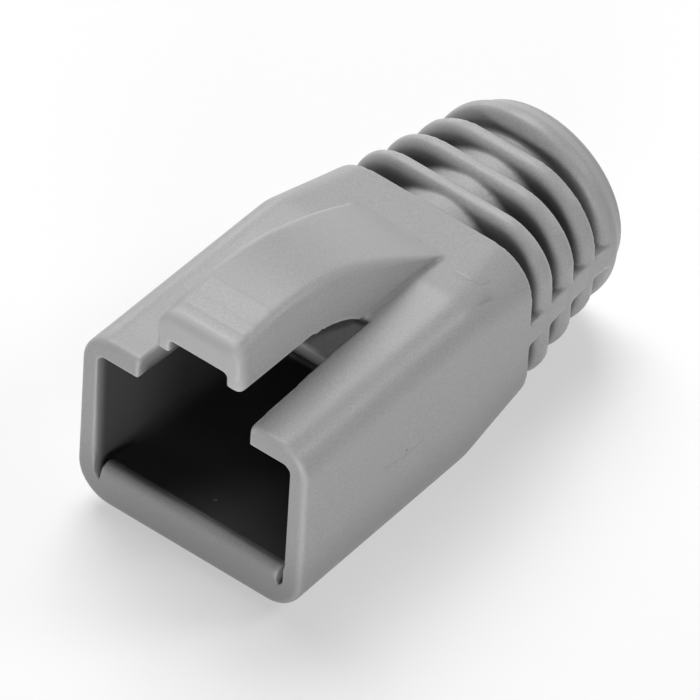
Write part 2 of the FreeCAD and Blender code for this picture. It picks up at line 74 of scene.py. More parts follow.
# Front of a rib or of the collar: how far behind the ring before it, and how far inwards.
RIB_FRONT = ((0.6, 1.9), (0.7, 1.0), (0.84, 0.6), (1.04, 0.31), (1.26, 0.11), (1.5, 0.0))
COLLAR_FRONT = ((0.6, 1.9), (0.66, 1.0), (0.76, 0.6), (0.9, 0.31), (1.06, 0.11), (1.25, 0.0))
RING_INSET = RIB_FRONT[0][0]         # room at the groove's bottom
COLLAR_START = SHOULDER_END + len(RIBS) * RIB_PITCH
COLLAR_STRAIGHT = 26.165             # where it begins to narrow
COLLAR_RADIUS = 5.68
COLLAR_REAR_RADIUS = 5.2             # where the narrowing meets the rounded rim
COLLAR_ROUNDING = 0.4
SPINE_HALF_HEIGHT = 0.7
RING_STEPS = 40                      # points on each quarter of a ring

# ---------------------------------------------------------------- hood
ROOF = 10.65                         # height of the roof at the front
# The arch of its front half and the flatter one of its back: how far the middle lies behind
# the front, the middle's height, and the radius.
HOOD_ARCH = (3.8, 0.0, 15.0)
HOOD_BACK = (-6.3667, -22.8394, 40.0)
HOOD_JOIN = 9.9                      # where the one turns into the other
HOOD_UNDERSIDE = 13.4                # radius of the arch under it
HOOD_BASE_HALF = 2.85                # half width at the roof
HOOD_LEAN = 0.1034                   # how much each side closes in per millimetre of height
HOOD_START = 0.1                     # its front face
HOOD_NOSE = 0.45                     # rounding of its front edge
HOOD_ROUNDING = 0.7                  # rounding along its top edges
HOOD_FADE = (9.6, 15.9)              # where that rounding begins and ends to fade
HOOD_SHARPEST = 0.02                 # what is left of it there
HOOD_SKIN = 1.2                      # how deep the new back reaches over the hollow
HOOD_SOLID = 9.7                     # behind here there is no hollow under it
HOOD_FOOT = 10.0                     # height of its foot there
HOOD_STATIONS = 76                   # loops along its back

# ---------------------------------------------------------------- making of the skin
SKIN_CELL = 0.1      # cells that the skin is rebuilt from
SKIN_ROUNDS = 6         # rounds of smoothing, as a mould softens edges
SKIN_TRIANGLES = 190000              # most triangles that the skin keeps
WELD = 1e-4                          # corners nearer than this are one
CUT_BEFORE = 0.005                   # the plain tail is cut off this much inside the shoulder
EASED_ROUNDS = 3 * SKIN_ROUNDS       # further rounds along the sleeve's long corners
EASED_PULL = 0.7
EASED_ASIDE = (3.7, 4.2)             # they set in between these distances from the middle
EASED_START = (0.9, 1.6)             # and along the boot between these
EASED_END = (17.9, 17.2)             # and end between these
EDGE_SCALE = 0.05                    # standing out by this much counts in full
EDGE_BLUR = 2                        # rounds that spread the edges' painted highlight and shade

# ---------------------------------------------------------------- finish
# sRGB levels of the grey, and the shares and places where it changes, painted highlights and
# painted shade among them.
PLASTIC_LEVEL = 144
CLOUD_SWING = 5                      # paler and darker clouds
CLOUD_SCALE = 0.35                   # clouds per millimetre
CLOUD_DETAIL = 3.0
GRAIN_LIFT = 8                       # how much paler the grain's tops are
GRAIN_SCALE = 9.0                    # grains per millimetre
GRAIN_DETAIL = 2.0
GRAIN_SPAN = (0.35, 0.65)            # from the grain's hollows to its tops
GRAIN_HEIGHT = 0.006 * MM
GRAIN_STRENGTH = 0.25
SHEEN = (0.40, 0.46)                 # roughness, from cloud to cloud
SHEEN_SPAN = (0.3, 0.7)              # of the clouds, that it follows
NOISE_ROUGHNESS = 0.55               # of both the clouds and the grain
REFRACTION = 1.45
# Painted highlight: rims that stand out are painted paler, as if catching the light.
PAINTED_HIGHLIGHT_LEVEL = 178
HIGHLIGHT_STANDING = (0.18, 0.95)          # standing out from here takes the painted highlight
HIGHLIGHT_SHARE = 0.6
# Painted shade in creases and hollows that lie in; the scratch and the crescent take the same grey.
SHADE_AND_MARK_LEVEL = 90
CORNER_SHADE_LYING = (-0.1, -0.9)          # lying in from here takes the painted shade
CORNER_SHADE_SHARE = 0.5
# Painted shade in the tail's grooves, where the ribs shut the light out.
GROOVE_SHADE_LEVEL = 55
GROOVE_SHADE_STRENGTH = 0.8
GROOVE_WALL = (0.12, 0.5)            # depths between which painted shade sets in on a groove's wall
GROOVE_TUBE = (0.45, 1.1)            # the same on the tube at its bottom
GROOVE_FOOT = 0.2                    # height over the tube at which the wall counts in full
COLLAR_LEE = 0.3                     # painted shade on the collar's wall sets in this much deeper
COLLAR_SHADE_SHARE = 0.55                  # and is only this strong
# Painted shade, darker towards the ground.
LOW_SHADE_SHARE = 0.4                      # of the painted shade along the underside
LOW_SHADE_HEIGHTS = (0.3, 5.0)
# Painted highlight on the hood's rounded front face.
NOSE_HIGHLIGHT_SHARE = 0.6                     # of the painted highlight on the hood's face
NOSE_DEPTHS = (0.25, 1.0)
NOSE_HEIGHTS = (11.2, 12.0)
# Painted shade inside the cavity and under the hood, darkest deep in the cavity.
INSIDE_SHADE_LEVEL = 64
INSIDE_SHADE_SHARE = 0.9
DEEP_SHADE_LEVEL = 12
DEEP_START = (2.5, 7.5)              # along the cavity, from painted shade to deep painted shade
WALL_ASIDE = (5.9, 6.0)              # beyond it lie the side walls, whose painted shade stays half as dark
WALL_SHADE_SHARE = 0.5
CAVITY_ASIDE = (6.05, 6.15)
CAVITY_START = (0.0, 0.9)
CAVITY_END = (14.5, 16.0)
CAVITY_ROOF = (9.35, 10.4)
CAVITY_FLOOR = (0.9, 1.2)
HOLLOW_ASIDE = (1.85, 2.0)
HOLLOW_END = (9.45, 9.6)
HOLLOW_ROOF = (HOOD_UNDERSIDE + 0.05, HOOD_UNDERSIDE + 0.3)
HOLLOW_SEAT = (10.5, 12.5)           # the painted shade fades down to the latch seat
BEAD_DEPTH = (1.1, 1.35)             # the bead on the opening's bottom edge stays without painted shade
BEAD_TOP = (2.3, 2.45)
BEAD_ASIDE = (5.5, 5.6)

# ---------------------------------------------------------------- marks
# Faint ridges for the finger across the hood, as distances behind the front.
GRIP_LINES = (0.59, 1.26, 2.09, 3.24)
GRIP_HALF_LENGTH = 1.8
GRIP_FADE = 0.05                     # of the ridges' ends
GRIP_WIDTH = 0.11
GRIP_HEIGHT = 0.026
GRIP_ABOVE = ROOF + 3.0              # only the hood reaches so high
GRIP_FACING = 0.6                    # least upward part of the skin's normal there

# What handling and the mould left: a path on the skin, how deep and how wide it is
# pressed in, and the width, share and level of its tone.
Mark = namedtuple("Mark", "path depth pressed width share level")
SCRATCH = Mark(
    ((6.88, 6.47, 5.43), (6.86, 8.1, 5.12), (6.85, 8.77, 5.14), (6.84, 9.4, 5.18)),
    0.025, 0.07, 0.09, 0.15, SHADE_AND_MARK_LEVEL,
)
CRESCENT = Mark(
    ((4.01, 15.10, 10.57), (4.47, 15.14, 10.56), (4.88, 15.18, 10.53),
     (5.36, 15.37, 10.35), (5.45, 15.73, 10.23), (5.42, 16.09, 10.15)),
    0.028, 0.1, 0.11, 0.15, SHADE_AND_MARK_LEVEL,
)
DOT = Mark(((6.86, 8.15, 5.35), (6.86, 8.22, 5.38)), 0.05, 0.09, 0.1, 0.6, 60)
SPECK = Mark(((-0.42, 2.62, 1.4), (-0.36, 2.68, 1.4)), 0.0, 0.09, 0.09, 0.7, 150)
MARKS = (SCRATCH, CRESCENT, DOT, SPECK)
MARK_CORE = 0.35                     # share of a mark's width with its full tone

# ---------------------------------------------------------------- stage, in metres
COLLAR_DROP = (COLLAR_RADIUS - AXIS_HEIGHT) * MM     # the collar's reach below the sleeve
SLEEVE = Vector((0.0, low.y, COLLAR_DROP))   # middle of the opening's bottom edge

CAMERA_AZIMUTH = math.radians(36.495)
CAMERA_ELEVATION = math.radians(43.326)
CAMERA_ROLL = math.radians(3.440)
CAMERA_DISTANCE = 844.0 * MM
CAMERA_TARGET = SLEEVE + Vector((0.0, 15.0, 5.0)) * MM
CAMERA_ASIDE = 1.6658 * MM           # how far the target lies right of the picture's middle
CAMERA_ABOVE = 1.5138 * MM           # how far it lies above the middle
PICTURE_WIDTH = 34.1698 * MM         # width seen at the target's distance
SENSOR_WIDTH = 36.0                  # in millimetres, as the lens
CLIPPING = (0.05, 20.0)

# Name, azimuth (0 is the front, 90 the right) and elevation, distance, size and watts.
LAMPS = (
    ("top", -128, 57, 0.5, 0.35, 2.55),
    ("front", 34, 2, 0.25, 0.1, 0.55),
    ("rear_right", 134, 38, 0.5, 0.15, 0.5),
    ("rear_left", -126, 12, 0.5, 0.15, 0.3),
)
AMBIENT = 0.06                       # strength of the surround as a light
FLOOR_REACH = 4.0
FLOOR_GREY = 0.95
FLOOR_ROUGHNESS = 0.9
FLOOR_SHINE = 0.2
FLOOR_GLOW = 0.45                    # of the floor's look that is plain white


def linear(level):
    """The linear value of an sRGB level from 0 to 255."""
    share = level / 255
    return share / 12.92 if share <= 0.04045 else ((share + 0.055) / 1.055) ** 2.4


def grey(level):
    """An opaque neutral colour of that sRGB level."""
    value = linear(level)
    return (value, value, value, 1.0)


def quarter_turn(step):
    """Cosine and sine at every step degrees from 0 to 90."""
    turns = (math.radians(degrees) for degrees in range(0, 91, step))
    return [(math.cos(turn), math.sin(turn)) for turn in turns]


# ---------------------------------------------------------------- points of a mesh
def points_of(mesh):
    """The places of the mesh's vertices, one row each."""
    places = np.empty(len(mesh.vertices) * 3)
    mesh.vertices.foreach_get("co", places)
    return places.reshape(-1, 3)


def set_points(mesh, places):
    """Move the mesh's vertices to those places."""
    mesh.vertices.foreach_set("co", places.ravel())
    mesh.update()


def normals_of(mesh):
    """The normals of the mesh's vertices, one row each."""
    normals = np.empty(len(mesh.vertices) * 3)
    mesh.vertices.foreach_get("normal", normals)
    return normals.reshape(-1, 3)


def neighbour_mean(mesh, values):
    """The mean of the values over each vertex's neighbours."""
    ends = np.empty(len(mesh.edges) * 2, dtype=np.int64)
    mesh.edges.foreach_get("vertices", ends)
    first, last = ends.reshape(-1, 2).T
    total = np.zeros_like(values)
    count = np.zeros(len(values))
    for here, there in ((first, last), (last, first)):
        np.add.at(total, here, values[there])
        np.add.at(count, here, 1)
    shape = (-1,) + (1,) * (values.ndim - 1)
    return total / np.maximum(count, 1).reshape(shape)


def distance_to(places, path):
    """How far each place lies from a path of straight runs."""
    least = np.full(len(places), np.inf)
    for first, last in zip(path, path[1:]):
        start = np.array(first)
        run = np.array(last) - start
        share = np.clip((places - start) @ run / (run @ run), 0, 1)
        away = np.linalg.norm(places - start - share[:, None] * run, axis=1)
        least = np.minimum(least, away)
    return least


def smooth_step(values, start, end):
    """0 at start, 1 at end and a smooth change between, whichever of the two comes first."""
    share = np.clip((values - start) / (end - start), 0, 1)
    return share * share * (3 - 2 * share)


def apply_modifiers(thing):
    """Apply the object's modifiers for good."""
    graph = bpy.context.evaluated_depsgraph_get()
    finished = bpy.data.meshes.new_from_object(thing.evaluated_get(graph))
    thing.modifiers.clear()
    thing.data = finished


# ---------------------------------------------------------------- rings and loops
def ring_at(y, half_width, half_height, corner):
    """Points round a rounded rectangle about the cable's axis, none inside the tube's wall."""
    ring = []
    for quarter in range(4):
        middle_x = (half_width - corner) * (1, -1, -1, 1)[quarter]
        middle_z = (half_height - corner) * (1, 1, -1, -1)[quarter]
        for step in range(RING_STEPS):
            turn = math.radians(90 * (quarter + step / (RING_STEPS - 1)))
            x = middle_x + corner * math.cos(turn)
            z = middle_z + corner * math.sin(turn)
            grow = max(1.0, BURIED_RADIUS / math.hypot(x, z))
            ring.append((x * grow, y, AXIS_HEIGHT + z * grow))
    return ring


def round_ring(y, radius):
    """Points round a circle about the cable's axis, as many as in the other rings."""
    turns = (
        math.radians(90 * (quarter + step / (RING_STEPS - 1)))
        for quarter in range(4) for step in range(RING_STEPS)
    )
    return [
        (radius * math.cos(turn), y, AXIS_HEIGHT + radius * math.sin(turn)) for turn in turns
    ]


def sloped_front(profile, before, half_width, half_height, corner):
    """Rings of a rib's front, from its foot by the ring before to its crest."""
    return [
        ring_at(before + along, half_width - inward, half_height - inward, corner - inward)
        for along, inward in profile
    ]


def add_loops(form, loops, closed):
    """Add a skin over loops of as many points each, joined end to end or capped."""
    rows = [[form.verts.new(place) for place in loop] for loop in loops]
    count = len(rows[0])
    for first, second in zip(rows, rows[1:] + (rows[:1] if closed else [])):
        for index in range(count):
            after = (index + 1) % count
            form.faces.new((first[index], first[after], second[after], second[index]))
    if not closed:
        form.faces.new(reversed(rows[0]))
        form.faces.new(rows[-1])


# ---------------------------------------------------------------- tail
def without_tail(form):
    """Cut the plain tail off at the shoulder's rear face and close the cut."""
    everything = form.verts[:] + form.edges[:] + form.faces[:]
    cut = bmesh.ops.bisect_plane(
        form, geom=everything, plane_co=(0, SHOULDER_END - CUT_BEFORE, 0),
        plane_no=(0, 1, 0), clear_outer=True,
    )
    rim = [item for item in cut["geom_cut"] if isinstance(item, bmesh.types.BMEdge)]
    bmesh.ops.triangle_fill(form, edges=rim, use_beauty=True)


def add_tube(form):
    """The tube that the ribs stand on."""
    start = SHOULDER_END - SHOULDER_OVERLAP
    corners = (
        (start, BORE_RADIUS), (start, TUBE_RADIUS), (TUBE_END, TUBE_RADIUS), (TUBE_END, BORE_RADIUS)
    )
    add_loops(form, [round_ring(*corner) for corner in corners], closed=True)


def add_rib(form, before, sizes):
    """One rib, behind the ring that ends at before."""
    rear = before + RIB_PITCH
    loops = sloped_front(RIB_FRONT, before, *sizes)
    loops.append(ring_at(rear, *sizes))
    loops.append(round_ring(rear, RING_INNER))
    loops.append(round_ring(before + RING_INSET, RING_INNER))
    add_loops(form, loops, closed=True)


def add_collar(form):
    """The round collar, narrowing to a rounded rim with the bore's bevel inside it."""
    loops = sloped_front(COLLAR_FRONT, COLLAR_START, COLLAR_RADIUS, COLLAR_RADIUS, COLLAR_RADIUS)
    loops.append(round_ring(COLLAR_STRAIGHT, COLLAR_RADIUS))
    for inwards, backwards in quarter_turn(15):
        y = TAIL_END - COLLAR_ROUNDING + COLLAR_ROUNDING * backwards
        loops.append(round_ring(y, COLLAR_REAR_RADIUS - COLLAR_ROUNDING * (1 - inwards)))
    loops.append(round_ring(TAIL_END, BORE_RADIUS + BORE_EDGE))
    loops.append(round_ring(TAIL_END - BORE_EDGE, BORE_RADIUS))
    loops.append(round_ring(COLLAR_START + RING_INSET, BORE_RADIUS))
    add_loops(form, loops, closed=True)


def add_spines(form):
    """A spine along each side of the tail, as wide as the rings that it joins."""
    start = SHOULDER_END - SHOULDER_OVERLAP
    crest = RIB_FRONT[-1][0]
    end = COLLAR_START + COLLAR_FRONT[-1][0]
    edge = [(SHOULDER_HALF_WIDTH, start), (SHOULDER_HALF_WIDTH, SHOULDER_END)]
    for rib, sizes in enumerate(RIBS):
        before = SHOULDER_END + rib * RIB_PITCH
        edge += [(sizes[0], before + crest), (sizes[0], before + RIB_PITCH)]
    edge += [(COLLAR_RADIUS, end), (BURIED_RADIUS, end), (BURIED_RADIUS, start)]
    for side in (1, -1):
        loops = [
            [(side * x, y, AXIS_HEIGHT + up) for x, y in edge]
            for up in (-SPINE_HALF_HEIGHT, SPINE_HALF_HEIGHT)
        ]
        add_loops(form, loops, closed=False)


def add_tail(form):
    """The ribbed tail again, its ribs' fronts hollowed."""
    add_tube(form)
    for rib, sizes in enumerate(RIBS):
        add_rib(form, SHOULDER_END + rib * RIB_PITCH, sizes)
    add_collar(form)
    add_spines(form)


# ---------------------------------------------------------------- hood
def hood_height(y):
    """Height of the hood's back at distance y, with its rounded nose."""
    middle, height, radius = HOOD_ARCH if y < HOOD_JOIN else HOOD_BACK
    top = height + math.sqrt(radius ** 2 - (y - middle) ** 2)
    into_nose = max(0.0, HOOD_START + HOOD_NOSE - y)
    return top - HOOD_NOSE + math.sqrt(HOOD_NOSE ** 2 - into_nose ** 2)


def hood_half_width(height):
    """Half width of the hood at that height, its sides leaning in."""
    return HOOD_BASE_HALF - HOOD_LEAN * (height - ROOF)


def add_hood(form):
    """The hood's back again, its edges' rounding fading out towards the shoulder."""
    stations = [
        HOOD_START + HOOD_NOSE * (1 - math.cos(math.radians(turn))) for turn in range(2, 90, 8)
    ]
    fade_start, fade_end = HOOD_FADE
    stations += list(np.linspace(HOOD_START + HOOD_NOSE, fade_end, HOOD_STATIONS))
    loops = []
    for y in stations:
        faded = max(0.0, (y - fade_start) / (fade_end - fade_start))
        corner = HOOD_ROUNDING * (1 - faded) + HOOD_SHARPEST
        top = hood_height(y)
        foot = HOOD_FOOT if y > HOOD_SOLID else top - HOOD_SKIN
        half_foot = hood_half_width(foot)
        half_edge = hood_half_width(top - corner)
        loop = [(-half_foot, y, foot), (half_foot, y, foot)]
        loop += [
            (half_edge - corner + corner * aside, y, top - corner + corner * up)
            for aside, up in quarter_turn(10)
        ]
        loop += [(-x, y, z) for x, y, z in reversed(loop[2:])]
        loops.append(loop)
    add_loops(form, loops, closed=False)


# ---------------------------------------------------------------- the skin
def ease_long_corners(mesh):
    """Smooth the sleeve's four long corners further, so that their arcs show no flats."""
    places = points_of(mesh)
    along = places[:, 1]
    share = smooth_step(np.abs(places[:, 0]), *EASED_ASIDE) * smooth_step(along, *EASED_START)
    share = (share * smooth_step(along, *EASED_END))[:, None]
    for _ in range(EASED_ROUNDS):
        places += EASED_PULL * share * (neighbour_mean(mesh, places) - places)
    set_points(mesh, places)


def press_marks(mesh):
    """Raise the grip lines and press the marks into the skin."""
    places = points_of(mesh)
    normals = normals_of(mesh)
    rise = np.zeros(len(places))
    across = 1 / (1 + np.exp((np.abs(places[:, 0]) - GRIP_HALF_LENGTH) / GRIP_FADE))
    on_hood = (normals[:, 2] > GRIP_FACING) & (places[:, 2] > GRIP_ABOVE)
    for line in GRIP_LINES:
        ridge = np.exp(-((places[:, 1] - line) / GRIP_WIDTH) ** 2)
        rise += np.where(on_hood, GRIP_HEIGHT * across * ridge, 0)
    for mark in MARKS:
        rise -= mark.depth * np.exp(-(distance_to(places, mark.path) / mark.pressed) ** 2)
    set_points(mesh, places + normals * rise[:, None])


def groove_shade_share(places):
    """How much painted shade each place on the tail takes, as the ribs beside it shut it in, from 0
    to 1.
    """
    along = places[:, 1]
    height = places[:, 2] - AXIS_HEIGHT
    off_axis = np.hypot(places[:, 0], height)
    which = np.clip((along - SHOULDER_END) // RIB_PITCH, 0, len(RIBS) - 1)
    half_width, half_height, corner = np.array(RIBS)[which.astype(int)].T
    aside = np.abs(places[:, 0]) - (half_width - corner)
    up = np.abs(height) - (half_height - corner)
    beyond = np.hypot(np.maximum(aside, 0), np.maximum(up, 0))
    by_rib = corner - beyond - np.minimum(np.maximum(aside, up), 0)
    by_collar = COLLAR_RADIUS - COLLAR_LEE - off_axis
    depth = np.where(along > COLLAR_START, by_collar, by_rib)
    on_wall = smooth_step(depth, *GROOVE_WALL)
    on_wall *= smooth_step(off_axis, TUBE_RADIUS, TUBE_RADIUS + GROOVE_FOOT)
    on_tube = smooth_step(depth, *GROOVE_TUBE)
    shut_in = np.maximum(on_wall, on_tube) * np.where(along > COLLAR_START, COLLAR_SHADE_SHARE, 1.0)
    grooved = (along > SHOULDER_END) & (along < COLLAR_STRAIGHT) & (off_axis > BURIED_RADIUS)
    return np.where(grooved, shut_in, 0.0)


def note_on_vertices(mesh, name, values):
    """Keep one value on each vertex, for the finish to read."""
    layer = mesh.attributes.new(name, "FLOAT", "POINT")
    layer.data.foreach_set("value", values)


def note_edges(mesh):
    """Keep on each vertex how far it stands out or in, for the painted highlights and corner shade,
    and how much painted groove shade it takes.
    """
    places = points_of(mesh)
    smooth = places
    for _ in range(SKIN_ROUNDS):
        smooth = neighbour_mean(mesh, smooth)
    standing = np.einsum("ij,ij->i", places - smooth, normals_of(mesh)) / EDGE_SCALE
    for _ in range(EDGE_BLUR):
        standing = (standing + neighbour_mean(mesh, standing)) / 2
    note_on_vertices(mesh, "standing_out", np.clip(standing, -1, 1))
    note_on_vertices(mesh, "painted_groove_shade", groove_shade_share(places))


def moulded_skin():
    """The solid's form again as one fine mesh, its edges softened as a mould leaves them."""
    skin = bpy.data.objects.new("moulded_boot", solid.data.copy())
    bpy.context.scene.collection.objects.link(skin)
    to_millimetres = Matrix.Scale(1 / MM, 4) @ Matrix.Translation(-SLEEVE)
    skin.data.transform(to_millimetres)
    form = bmesh.new()
    form.from_mesh(skin.data)
    bmesh.ops.remove_doubles(form, verts=form.verts[:], dist=WELD)
    without_tail(form)
    add_tail(form)
    add_hood(form)
    bmesh.ops.recalc_face_normals(form, faces=form.faces[:])
    form.to_mesh(skin.data)
    form.free()

    cells = skin.modifiers.new("cells", "REMESH")
    cells.mode = "VOXEL"
    cells.voxel_size = SKIN_CELL
    soften = skin.modifiers.new("soften", "SMOOTH")
    soften.factor = 0.5
    soften.iterations = SKIN_ROUNDS
    apply_modifiers(skin)
    ease_long_corners(skin.data)
    press_marks(skin.data)
    note_edges(skin.data)
    thin = skin.modifiers.new("thin", "DECIMATE")
    thin.ratio = min(1.0, SKIN_TRIANGLES / (2 * len(skin.data.polygons)))
    apply_modifiers(skin)
    skin.data.transform(to_millimetres.inverted())
    for face in skin.data.polygons:
        face.use_smooth = True
    return skin


# ---------------------------------------------------------------- nodes
def node(tree, kind, x, y, **settings):
    """A node of that kind at x, y, with its plain properties set."""
    made = tree.nodes.new(kind)
    made.location = (x, y)
    for name, value in settings.items():
        setattr(made, name, value)
    return made


def feed(tree, socket, value):
    """Link another socket to this one, or set it to a plain value."""
    if isinstance(value, bpy.types.NodeSocket):
        tree.links.new(value, socket)
    else:
        socket.default_value = value


def math_node(tree, operation, x, y, first, second=None):
    """A math node fed by sockets or plain numbers."""
    made = node(tree, "ShaderNodeMath", x, y, operation=operation)
    feed(tree, made.inputs[0], first)
    if second is not None:
        feed(tree, made.inputs[1], second)
    return made.outputs["Value"]


def vector_node(tree, operation, x, y, first, second):
    """A vector math node fed by sockets or plain vectors."""
    made = node(tree, "ShaderNodeVectorMath", x, y, operation=operation)
    feed(tree, made.inputs[0], first)
    feed(tree, made.inputs["Scale" if operation == "SCALE" else 1], second)
    return made.outputs["Value" if operation in ("DOT_PRODUCT", "DISTANCE") else "Vector"]


def combined(tree, operation, masks, x, y):
    """Masks multiplied, or the greatest of them, one after the other."""
    result = masks[0]
    for level, mask in enumerate(masks[1:]):
        result = math_node(tree, operation, x + 150 * level, y - 200 * level, result, mask)
    return result


def ramp(tree, value, span, x, y, before=0.0, after=1.0):
    """A smooth step over a span of values, from before to after."""
    made = node(tree, "ShaderNodeMapRange", x, y, interpolation_type="SMOOTHSTEP")
    limits = zip(("From Min", "From Max", "To Min", "To Max"), (*span, before, after))
    feed(tree, made.inputs["Value"], value)
    for name, limit in limits:
        made.inputs[name].default_value = limit
    return made.outputs["Result"]


def noise(tree, place, scale, detail, x, y):
    """Soft noise from 0 to 1 at that many waves per millimetre."""
    made = node(tree, "ShaderNodeTexNoise", x, y)
    feed(tree, made.inputs["Vector"], place)
    for name, value in (("Scale", scale), ("Detail", detail), ("Roughness", NOISE_ROUGHNESS)):
        made.inputs[name].default_value = value
    return made.outputs["Fac"]


def mixed(tree, share, first, second, x, y):
    """Two colours mixed by a share."""
    made = node(tree, "ShaderNodeMix", x, y, data_type="RGBA")
    sockets = {socket.identifier: socket for socket in made.inputs}
    feed(tree, sockets["Factor_Float"], share)
    feed(tree, sockets["A_Color"], first)
    feed(tree, sockets["B_Color"], second)
    return next(item for item in made.outputs if item.identifier == "Result_Color")


def noted(tree, name, x, y):
    """The value that note_on_vertices kept under that name."""
    return node(tree, "ShaderNodeAttribute", x, y, attribute_name=name).outputs["Fac"]


def run_mask(tree, place, first, last, width, x, y):
    """1 on the straight run between two points, 0 beyond width from it."""
    run = Vector(last) - Vector(first)
    offset = vector_node(tree, "SUBTRACT", x, y, place, Vector(first))
    along = vector_node(tree, "DOT_PRODUCT", x + 150, y, offset, run / run.length_squared)
    share = node(tree, "ShaderNodeClamp", x + 300, y)
    feed(tree, share.inputs["Value"], along)
    nearest = vector_node(tree, "SCALE", x + 450, y, run, share.outputs["Result"])
    away = vector_node(tree, "DISTANCE", x + 600, y, offset, nearest)
    return ramp(tree, away, (width * MARK_CORE, width), x + 750, y, 1.0, 0.0)


def path_mask(tree, place, path, width, x, y):
    """1 on a path of straight runs, 0 beyond width from it."""
    masks = [
        run_mask(tree, place, first, last, width, x, y - 180 * index)
        for index, (first, last) in enumerate(zip(path, path[1:]))
    ]
    return combined(tree, "MAXIMUM", masks, x + 950, y)


def skin_place(tree, x, y):
    """Places on the boot in millimetres from the middle of the opening's bottom edge."""
    texture = node(tree, "ShaderNodeTexCoord", x, y)
    moved = vector_node(tree, "SUBTRACT", x + 150, y, texture.outputs["Object"], SLEEVE)
    return vector_node(tree, "SCALE", x + 300, y, moved, 1 / MM)


# ---------------------------------------------------------------- finish
def cavity_shade_mask(tree, aside, along, height, x, y):
    """Where the cavity's painted shade goes: 1 between the sleeve's walls, fading to 0 at the open
    front and behind the cavity.
    """
    return combined(tree, "MULTIPLY", (
        ramp(tree, aside, CAVITY_ASIDE, x, y, 1.0, 0.0),
        ramp(tree, along, CAVITY_START, x, y - 200),
        ramp(tree, along, CAVITY_END, x, y - 400, 1.0, 0.0),
        ramp(tree, height, CAVITY_ROOF, x, y - 600, 1.0, 0.0),
        ramp(tree, height, CAVITY_FLOOR, x, y - 800),
    ), x + 200, y)


def hollow_shade_mask(tree, aside, along, height, x, y):
    """Where the painted shade under the hood goes: 1 under the hood's arched plate, fading to 0
    down at the latch seat.
    """
    from_crest = math_node(tree, "SUBTRACT", x, y, along, HOOD_ARCH[0])
    squared = math_node(tree, "MULTIPLY", x + 150, y, from_crest, from_crest)
    fall = math_node(tree, "DIVIDE", x + 300, y, squared, 2 * HOOD_UNDERSIDE)
    against_arch = math_node(tree, "ADD", x + 450, y, height, fall)
    return combined(tree, "MULTIPLY", (
        ramp(tree, aside, HOLLOW_ASIDE, x + 600, y, 1.0, 0.0),
        ramp(tree, against_arch, HOLLOW_ROOF, x + 600, y - 200, 1.0, 0.0),
        ramp(tree, along, HOLLOW_END, x + 600, y - 400, 1.0, 0.0),
        ramp(tree, along, CAVITY_START, x + 600, y - 600),
        ramp(tree, height, HOLLOW_SEAT, x + 600, y - 800),
    ), x + 800, y)


def off_bead_mask(tree, aside, along, height, x, y):
    """0 on the bead in the opening, which stays without painted shade, 1 elsewhere."""
    return combined(tree, "MAXIMUM", (
        ramp(tree, along, BEAD_DEPTH, x, y),
        ramp(tree, height, BEAD_TOP, x, y - 200),
        ramp(tree, aside, BEAD_ASIDE, x, y - 400),
    ), x + 200, y)


def grained(tree, cloudy, fine):
    """The plain grey with its clouds and its fine grain."""
    clouds = mixed(
        tree, cloudy, grey(PLASTIC_LEVEL - CLOUD_SWING), grey(PLASTIC_LEVEL + CLOUD_SWING),
        -1400, 500,
    )
    speckled = ramp(tree, fine, GRAIN_SPAN, -1400, 250)
    return mixed(tree, speckled, clouds, grey(PLASTIC_LEVEL + GRAIN_LIFT), -1200, 500)


def edge_highlight_and_shade(tree, colour):
    """The colour with painted highlights on rims, and painted shade in corners and grooves."""
    standing = noted(tree, "standing_out", -1400, 900)
    # Painted highlight on rims that stand out.
    rim = ramp(tree, standing, HIGHLIGHT_STANDING, -1200, 900, 0.0, HIGHLIGHT_SHARE)
    # Painted shade in corners that lie in.
    corner = ramp(tree, standing, CORNER_SHADE_LYING, -1200, 1100, 0.0, CORNER_SHADE_SHARE)
    # Painted shade in the tail's grooves.
    groove = noted(tree, "painted_groove_shade", -1400, 1300)
    shaded = math_node(tree, "MULTIPLY", -1200, 1300, groove, GROOVE_SHADE_STRENGTH)
    colour = mixed(tree, rim, colour, grey(PAINTED_HIGHLIGHT_LEVEL), -1000, 500)
    colour = mixed(tree, corner, colour, grey(SHADE_AND_MARK_LEVEL), -800, 500)
    return mixed(tree, shaded, colour, grey(GROOVE_SHADE_LEVEL), -600, 500)


